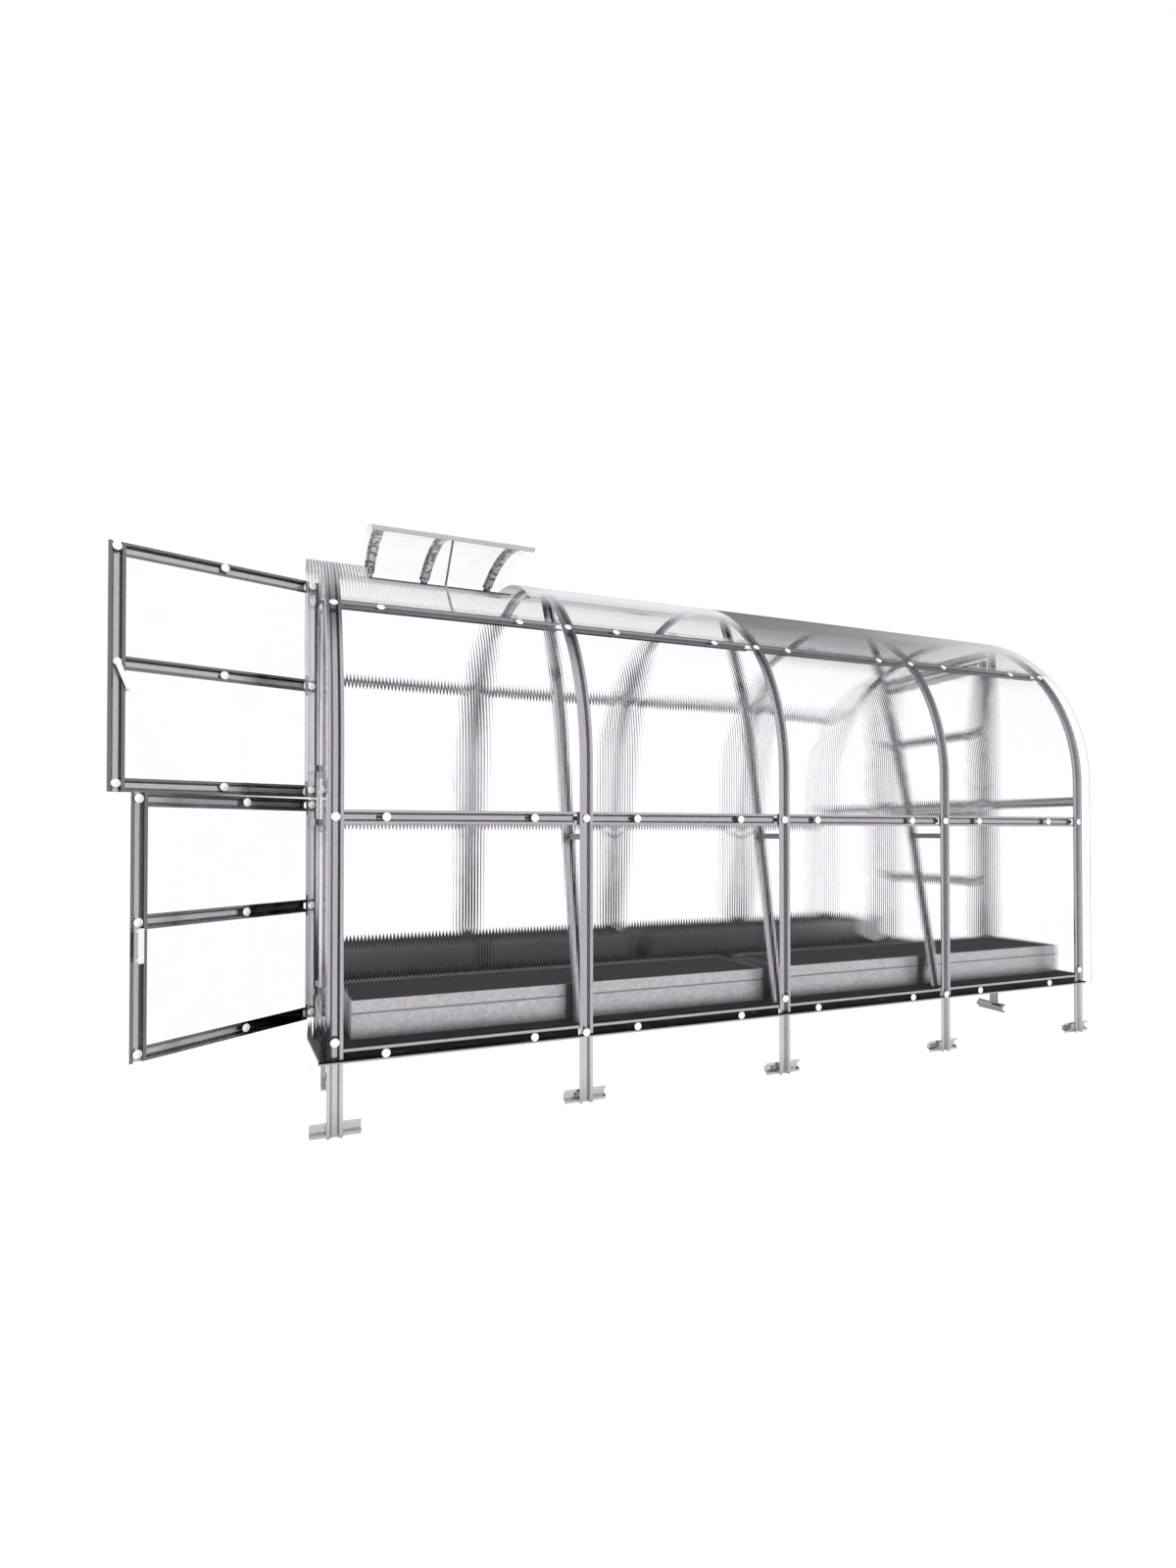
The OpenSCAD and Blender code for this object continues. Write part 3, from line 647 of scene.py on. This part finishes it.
def bent_sheet(name, x0, x1, mats, hole=None, lift=0.0, replaces=None):
    """A twin-wall sheet bent over the arches: two skins, edges, flute walls."""
    extra = []
    xs = [x0, x1]
    if hole:
        hx0, hx1, hy0, hy1 = hole
        a0, a1 = math.acos((R - hy0) / R), math.acos((R - hy1) / R)
        extra = [a0, a1]
        xs = [x0, hx0, hx1, x1]
    path = roof_path(96, extra)
    nr = len(path)

    def in_hole(x, j):
        if not hole:
            return False
        xm = x
        ym = 0.5 * (path[j][0] + path[j + 1][0])
        return hole[0] < xm < hole[1] and hole[2] < ym < hole[3]

    verts, faces, index = [], [], []

    def vid(i, j, side):
        return (i * nr + j) * 2 + side

    for x in xs:
        for (y, z, ny, nz) in path:
            for off in (lift + 0.0002, lift + T):
                verts.append((x, y + ny * off, z + nz * off))
    nc = len(xs)

    def cell(i, j):
        if i < 0 or j < 0 or i >= nc - 1 or j >= nr - 1:
            return False
        return not in_hole(0.5 * (xs[i] + xs[i + 1]), j)

    for i in range(nc - 1):
        for j in range(nr - 1):
            if not cell(i, j):
                continue
            faces.append((vid(i, j, 1), vid(i + 1, j, 1), vid(i + 1, j + 1, 1), vid(i, j + 1, 1)))
            faces.append((vid(i, j, 0), vid(i, j + 1, 0), vid(i + 1, j + 1, 0), vid(i + 1, j, 0)))
            if not cell(i, j - 1):
                faces.append((vid(i, j, 0), vid(i + 1, j, 0), vid(i + 1, j, 1), vid(i, j, 1)))
            if not cell(i, j + 1):
                faces.append((vid(i, j + 1, 0), vid(i, j + 1, 1), vid(i + 1, j + 1, 1), vid(i + 1, j + 1, 0)))
            if not cell(i - 1, j):
                faces.append((vid(i, j, 0), vid(i, j, 1), vid(i, j + 1, 1), vid(i, j + 1, 0)))
            if not cell(i + 1, j):
                faces.append((vid(i + 1, j, 0), vid(i + 1, j + 1, 0), vid(i + 1, j + 1, 1), vid(i + 1, j, 1)))
    index = [0] * len(faces)
    # walls between the flutes
    n = int((x1 - x0 - 0.004) / PITCH)
    for q in range(n + 1):
        x = x0 + 0.003 + q * PITCH
        base = len(verts)
        for (y, z, ny, nz) in path:
            for off in (lift + 0.0008, lift + T - 0.0006):
                verts.append((x, y + ny * off, z + nz * off))
        for j in range(nr - 1):
            if in_hole(x, j):
                continue
            faces.append((base + 2 * j, base + 2 * j + 1, base + 2 * j + 3, base + 2 * j + 2))
            index.append(1)
    ob = new_object(name, verts, faces, mats, smooth=True, index=index)
    mark_sharp(ob)
    if replaces:
        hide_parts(replaces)
    return ob


def mark_sharp(ob, deg=40.0):
    me = ob.data
    bm = bmesh.new()
    bm.from_mesh(me)
    for e in bm.edges:
        if len(e.link_faces) == 2:
            if e.link_faces[0].normal.angle(e.link_faces[1].normal, 0.0) > math.radians(deg):
                e.smooth = False
    bm.to_mesh(me)
    bm.free()


def flat_sheet(name, outline, origin, u, v, w, axis_u, mats, body, replaces=None, pitch=PITCH):
    """A flat twin-wall sheet. outline is a convex or simple polygon in (a, z) from origin along u (a) and up;
    w is the outward normal; flutes are upright."""
    o, u, w = Vector(origin), Vector(u), Vector(w)
    up = Vector((0, 0, 1))
    verts, faces, index = [], [], []
    for poly in outline:
        n = len(poly)
        base = len(verts)
        for off in (0.0002, T):
            for (a, z) in poly:
                verts.append(o + u * a + up * z + w * off)
        # winding: seen from outside
        outer = [base + n + i for i in range(n)]
        inner = [base + i for i in range(n)]
        area = sum(poly[i][0] * poly[(i + 1) % n][1] - poly[(i + 1) % n][0] * poly[i][1] for i in range(n))
        flip = (u.cross(up).dot(w) > 0) != (area > 0)
        if flip:
            outer.reverse()
        else:
            inner.reverse()
        faces.append(tuple(outer))
        faces.append(tuple(inner))
        for i in range(n):
            j = (i + 1) % n
            q = (base + i, base + j, base + n + j, base + n + i)
            faces.append(q[::-1] if flip else q)
        index += [0] * (n + 2)
        a0, a1 = min(p[0] for p in poly), max(p[0] for p in poly)
        m = int((a1 - a0 - 0.004) / pitch)
        for q in range(m + 1):
            a = a0 + 0.003 + q * pitch
            zs = []
            for i in range(n):
                (p0, z0), (p1, z1) = poly[i], poly[(i + 1) % n]
                if (p0 - a) * (p1 - a) < 0:
                    zs.append(z0 + (z1 - z0) * (a - p0) / (p1 - p0))
            zs.sort()
            for k in range(0, len(zs) - 1, 2):
                base2 = len(verts)
                for z in (zs[k] + 0.0005, zs[k + 1] - 0.0005):
                    for off in (0.0008, T - 0.0006):
                        verts.append(o + u * a + up * z + w * off)
                faces.append((base2, base2 + 1, base2 + 3, base2 + 2))
                index.append(1)
    ob = new_object(name, verts, faces, mats, body=body, smooth=False, index=index)
    if replaces:
        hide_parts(replaces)
    return ob


bent_sheet("roof_sheet_a", -OVER, 2.0 - 0.0005, [M_ROOF_L, M_WEB], hole=(0.155, 0.880, 0.385, 1.010), replaces="roof_sheet_left")
bent_sheet("roof_sheet_b", 2.0 + 0.0005, 4.0 + OVER, [M_ROOF_R, M_WEB], replaces="roof_sheet_right")


def arc_z(y, r):
    return WALL + math.sqrt(max(0.0, r * r - (R - y) ** 2))


def gable_outline():
    r = R - 0.001
    oy = JAMB_Y + HAT_W / 2
    polys = []
    for flip in (False, True):
        y0, y1 = 0.001, oy - 0.011
        pts = [(y1, SHEET_Z), (y0, SHEET_Z), (y0, WALL)]
        a0, a1 = 0.0, math.acos((R - y1) / r)
        for i in range(1, 25):
            a = a0 + (a1 - a0) * i / 24
            pts.append((R - r * math.cos(a), WALL + r * math.sin(a)))
        if flip:
            pts = [(W - y, z) for y, z in pts][::-1]
        polys.append(pts[::-1])
    y0 = oy - 0.010
    pts = [(y0, 2.289), (W - y0, 2.289)]
    a0 = math.acos((R - y0) / r)
    for i in range(0, 33):
        a = math.pi - a0 - (math.pi - 2 * a0) * i / 32
        pts.append((R - r * math.cos(a), WALL + r * math.sin(a)))
    polys.append(pts)
    return polys


flat_sheet("gable_sheet_a", gable_outline(), (GX, 0, 0), (0, 1, 0), None, (-1, 0, 0), None, [M_GABLE, M_WEB], ROOT, "gable_sheets_left")
flat_sheet("gable_sheet_b", gable_outline(), (4 - GX, 0, 0), (0, 1, 0), None, (1, 0, 0), None, [M_GABLE, M_WEB], ROOT, "gable_sheets_right")


LEAF_Z = {"upper": (1.289, 2.250, 1.785), "lower": (0.313, 1.281, 0.812)}
for leaf in OPEN:
    o, u, w = leaf_axes(leaf)
    z0, z1, zm = LEAF_Z[leaf.split("_")[1]]
    o2 = o - w * LEAF_D
    flat_sheet(leaf + "_pane", [[(S0, z0), (S0 + LEAF_W, z0), (S0 + LEAF_W, z1), (S0, z1)]], o2, u, None, w, None,
               [M_PANE, M_WEB_D], "door_" + leaf, leaf + "_sheet")

# vent pane
hy, hz, flap_r, flap_a, vent_a = R - 0.020, WALL + R + 0.014, R + 0.016, math.radians(34.5), math.radians(19.5)


def flap_point(ang, r):
    """Point at angle ang from the +Y direction round the arch's centre, on the open flap."""
    y, z = R + r * math.cos(ang), WALL + r * math.sin(ang)
    dy, dz = y - hy, z - hz
    c, s = math.cos(-vent_a), math.sin(-vent_a)
    return hy + dy * c - dz * s, hz + dy * s + dz * c


def vent_pane():
    verts, faces, index = [], [], []
    n = 24
    x0, x1 = 0.150, 0.895
    for i in range(n + 1):
        a = math.radians(91.5) + flap_a * i / n
        for r in (flap_r, flap_r + 0.003):
            y, z = flap_point(a, r)
            verts += [(x0, y, z), (x1, y, z)]
    for i in range(n):
        b = 4 * i
        faces.append((b + 2, b + 3, b + 7, b + 6))
        faces.append((b, b + 4, b + 5, b + 1))
        faces.append((b, b + 2, b + 6, b + 4))
        faces.append((b + 1, b + 5, b + 7, b + 3))
    faces.append((0, 1, 3, 2))
    b = 4 * n
    faces.append((b, b + 2, b + 3, b + 1))
    ob = new_object("vent_pane", verts, faces, [M_VPANE], smooth=True)
    mark_sharp(ob)
    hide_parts("vent_sheet")


vent_pane()


# ---------------------------------------------------------------- caps
def lathe(bm, o, axis, profile, seg=28):
    """Adds a turned shape: profile is (radius, height) from the axis out and back."""
    axis = Vector(axis).normalized()
    side = axis.orthogonal().normalized()
    other = axis.cross(side)
    rings = []
    for (r, h) in profile:
        if r < 1e-7:
            rings.append([bm.verts.new(Vector(o) + axis * h)])
        else:
            rings.append([bm.verts.new(Vector(o) + axis * h + (side * math.cos(2 * math.pi * i / seg) + other * math.sin(2 * math.pi * i / seg)) * r) for i in range(seg)])
    for a, b in zip(rings, rings[1:]):
        for i in range(seg):
            j = (i + 1) % seg
            if len(a) == 1 and len(b) > 1:
                bm.faces.new((a[0], b[i], b[j]))
            elif len(b) == 1 and len(a) > 1:
                bm.faces.new((a[i], b[0], a[j]))
            elif len(a) > 1:
                bm.faces.new((a[i], b[i], b[j], a[j]))


CAP = [(0.0, 0.0056), (0.0052, 0.0055), (0.0062, 0.0048), (0.0066, 0.0043), (0.0095, 0.0042), (0.0140, 0.0034),
       (0.0160, 0.0022), (0.0166, 0.0009), (0.0164, 0.0001), (0.0, 0.0001)]


def caps(name, spots, body, radius=1.0, mat=None):
    bm = bmesh.new()
    for (p, nrm) in spots:
        lathe(bm, p, nrm, [(r * radius, h) for r, h in CAP])
    me = bpy.data.meshes.new(name)
    bmesh.ops.recalc_face_normals(bm, faces=bm.faces)
    bm.to_mesh(me)
    bm.free()
    ob = bpy.data.objects.new(name, me)
    bpy.context.scene.collection.objects.link(ob)
    me.materials.append(mat or M_CAP)
    for p in me.polygons:
        p.use_smooth = True
    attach(ob, body)
    return ob


BAY_X = [0.184, 0.773, 1.237, 1.759, 2.189, 2.777, 3.238, 3.757]
for side in ("near", "far"):
    spots = []
    f = (lambda y: y) if side == "near" else (lambda y: W - y)
    sg = 1.0 if side == "near" else -1.0
    pn = (0, -math.cos(PURLIN_A) * sg, math.sin(PURLIN_A))
    ey = R - (R + T) * math.cos(PURLIN_A)
    ez = WALL + (R + T) * math.sin(PURLIN_A)
    for x in [0, 1, 2, 3, 4] + BAY_X:
        spots.append(((x, f(-T), MID_Z), (0, -sg, 0)))
        spots.append(((x, f(ey), ez), pn))
    for i in range(5):
        spots.append(((i, f(-T), 0.3545 if i % 2 == 0 else 0.2957), (0, -sg, 0)))
    for x in BAY_X:
        spots.append(((x, f(-T), BASE_Z - 0.002), (0, -sg, 0)))
    caps("caps_" + side, spots, ROOT)

for leaf in OPEN:
    o, u, w = leaf_axes(leaf)
    z0, z1, zm = LEAF_Z[leaf.split("_")[1]]
    o2 = o - w * (LEAF_D - T)
    if leaf.endswith("upper"):
        rows, mid, free = (2.231, 1.784, 1.322), 0.393, 0.775
    else:
        rows, mid, free = (1.256, 0.812, 0.343), 0.353, 0.779
    spots = []
    for z in rows:
        for s in (S0 + HAT_W / 2, mid, free):
            if s == free and z == 1.784:
                continue
            p = o2 + u * s
            spots.append(((p.x, p.y, z), tuple(w)))
    caps("caps_" + leaf, spots, "door_" + leaf)
for side, gx, nx in (("left", GX - T, -1), ("right", 4 - GX + T, 1)):
    spots = []
    for f in ((lambda y: y), (lambda y: W - y)):
        for z in (BASE_Z, 1.310, 2.130):
            spots.append(((gx, f(JAMB_Y - 0.012), z), (nx, 0, 0)))
        for z in (BASE_Z, 1.310):
            spots.append(((gx, f(0.29), z), (nx, 0, 0)))
    caps("caps_gable_" + side, spots, ROOT)


# ---------------------------------------------------------------- small pieces
def boxes(name, items, mat, body=ROOT):
    """Small blocks: each item is (centre, half sizes, rotation about X)."""
    verts, faces = [], []
    for (c, h, rx) in items:
        rot = Matrix.Rotation(rx, 3, "X")
        base = len(verts)
        for sx in (-1, 1):
            for sy in (-1, 1):
                for sz in (-1, 1):
                    verts.append(Vector(c) + rot @ Vector((sx * h[0], sy * h[1], sz * h[2])))
        for q in ((0, 1, 3, 2), (4, 6, 7, 5), (0, 4, 5, 1), (2, 3, 7, 6), (0, 2, 6, 4), (1, 5, 7, 3)):
            faces.append(tuple(base + i for i in q))
    return new_object(name, verts, faces, [mat], body=body, smooth=False)


WEB_Y = 0.0172                  # just in front of the profile's web
for side in ("near", "far"):
    f = (lambda y: y) if side == "near" else (lambda y: W - y)
    items = []
    # painted reflection: 25 mm left of each bay cap, the cap's shaded underside mirrored in the rail's web
    for x in BAY_X:
        items.append(((x - 0.026, f(WEB_Y), MID_Z), (0.011, 0.0001, 0.0065), 0.0))
    # painted shadow where each rail meets a post: on the web and over the ends of the brims
    for i in range(1, 5):
        items.append(((i - 0.043, f(WEB_Y), MID_Z), (0.0130, 0.0001, 0.0095), 0.0))
        items.append(((i - 0.0365, f(-0.0001), MID_Z), (0.0065, 0.00005, 0.027), 0.0))
    # painted shadow in each post's channel, and painted shade on the purlin's web by each arch
    for i in range(5):
        items.append(((i - 0.0135, f(0.0095), MID_Z), (0.0045, 0.0004, 0.0115), 0.0))
        a = PURLIN_A - 0.027
        r = R - WEB_Y
        items.append(((i + 0.001, f(R - r * math.cos(a)), WALL + r * math.sin(a)), (0.0085, 0.0001, 0.0100), -a if side == "near" else a))
    boxes("rail_painted_dark_" + side, items, M_PAINTED_DARK)

creases, joint_shadows = [], []
# painted shade: thin dark strips along the fold of each bed panel, on both faces, at Z 0.429
for x0, x1 in ((0.068, 1.952), (2.050, 3.978)):
    for y, d in ((0.112, -1), (0.532, 1), (1.508, -1), (1.928, 1)):
        creases.append(((0.5 * (x0 + x1), y + d * 0.0003, 0.4290), (0.5 * (x1 - x0), 0.0003, 0.0040), 0.0))
# painted shadow: dark strips down the bed fronts at the joints between panels
for y, d in ((0.112, -1), (1.508, -1)):
    for x0, x1 in ((0.949, 0.990), (2.925, 2.968)):
        joint_shadows.append(((0.5 * (x0 + x1), y + d * 0.0008, 0.405), (0.5 * (x1 - x0), 0.0002, 0.0745), 0.0))
boxes("bed_creases", creases, M_CREASE_SHADE)
boxes("bed_joint_shadows", joint_shadows, M_PAINTED_DARK)


# ---------------------------------------------------------------- floor, light
WHITE = 1.04                    # straight to the eye
WHITE_T = 0.10                  # a little more through the sheets


def eye_mix(nt, plain, white, out):
    """White for the eye and for what is seen through a sheet, plain for all other rays."""
    lp = nt.nodes.new("ShaderNodeLightPath")
    both = nt.nodes.new("ShaderNodeMath")
    both.operation = "MAXIMUM"
    mix = nt.nodes.new("ShaderNodeMixShader")
    nt.links.new(lp.outputs["Is Camera Ray"], both.inputs[0])
    nt.links.new(lp.outputs["Is Transmission Ray"], both.inputs[1])
    nt.links.new(both.outputs[0], mix.inputs[0])
    nt.links.new(plain, mix.inputs[1])
    nt.links.new(white, mix.inputs[2])
    nt.links.new(mix.outputs[0], out)


def white_strength(nt, socket):
    lp = nt.nodes.new("ShaderNodeLightPath")
    k = nt.nodes.new("ShaderNodeMath")
    k.operation = "MULTIPLY_ADD"
    nt.links.new(lp.outputs["Is Transmission Ray"], k.inputs[0])
    k.inputs[1].default_value = WHITE_T
    k.inputs[2].default_value = WHITE
    nt.links.new(k.outputs[0], socket)


def floor():
    me = bpy.data.meshes.new("floor")
    n, r = 96, 60.0
    verts = [(2.0, 1.0, -0.0005)] + [(2.0 + r * math.cos(2 * math.pi * i / n), 1.0 + r * math.sin(2 * math.pi * i / n), -0.0005) for i in range(n)]
    me.from_pydata(verts, [], [(0, 1 + i, 1 + (i + 1) % n) for i in range(n)])
    ob = bpy.data.objects.new("floor", me)
    bpy.context.scene.collection.objects.link(ob)
    t = Tree("floor")
    # bright in front, dim under the part as a painted shadow, bright again far behind it
    b = t.n("Emission")
    sep = t.n("SeparateXYZ")
    t.link(t.obj(), sep.inputs[0])
    fac = t.math("DIVIDE", t.math("ADD", sep.outputs[1], 2.0), 10.0, True)
    t.link(t.ramp(fac, ((0.0, 1.05), (0.17, 1.05), (0.22, 0.46), (0.45, 0.46), (0.62, 0.90), (1.0, 0.95))), b.inputs["Color"])
    e = t.n("Emission")
    e.inputs["Color"].default_value = (1, 1, 1, 1)
    white_strength(t.nt, e.inputs["Strength"])
    eye_mix(t.nt, b.outputs[0], e.outputs[0], t.out.inputs[0])
    me.materials.append(t.mat)


floor()


def area(name, loc, target, size, power, size_y=None):
    l = bpy.data.lights.new(name, "AREA")
    l.shape = "RECTANGLE"
    l.size = size
    l.size_y = size_y or size
    l.energy = power
    ob = bpy.data.objects.new(name, l)
    bpy.context.scene.collection.objects.link(ob)
    ob.location = loc
    ob.visible_glossy = False
    d = Vector(target) - Vector(loc)
    ob.rotation_euler = d.to_track_quat("-Z", "Y").to_euler()
    return ob


area("key", (-3.0, -7.0, 6.5), (2.0, 1.0, 1.0), 4.0, 260)

world = bpy.data.worlds.new("studio")
sc.world = world
world.use_nodes = True
nt = world.node_tree
nt.nodes.clear()
out = nt.nodes.new("ShaderNodeOutputWorld")
bg_eye = nt.nodes.new("ShaderNodeBackground")
bg_eye.inputs[0].default_value = (1, 1, 1, 1)
white_strength(nt, bg_eye.inputs[1])
bg = nt.nodes.new("ShaderNodeBackground")
tc = nt.nodes.new("ShaderNodeTexCoord")
sep = nt.nodes.new("ShaderNodeSeparateXYZ")
nt.links.new(tc.outputs["Generated"], sep.inputs[0])
# soft studio: an even bright front, a dim top and a grey back
front = nt.nodes.new("ShaderNodeMath")
front.operation = "MULTIPLY_ADD"
nt.links.new(sep.outputs[1], front.inputs[0])
front.inputs[1].default_value = -0.5
front.inputs[2].default_value = 0.5
ramp = nt.nodes.new("ShaderNodeValToRGB")
cr = ramp.color_ramp
cr.elements[0].position = 0.0
cr.elements[0].color = (0.80, 0.80, 0.80, 1)
cr.elements[1].position = 1.0
cr.elements[1].color = (1.05, 1.05, 1.05, 1)
for pos, val in ((0.30, 0.70), (0.44, 0.35), (0.50, 0.30), (0.60, 0.62), (0.70, 1.0), (0.80, 1.05)):
    e = cr.elements.new(pos)
    e.color = (val, val, val, 1)
nt.links.new(front.outputs[0], ramp.inputs[0])
nt.links.new(ramp.outputs[0], bg.inputs[0])
bg.inputs[1].default_value = 1.0
eye_mix(nt, bg.outputs[0], bg_eye.outputs[0], out.inputs[0])
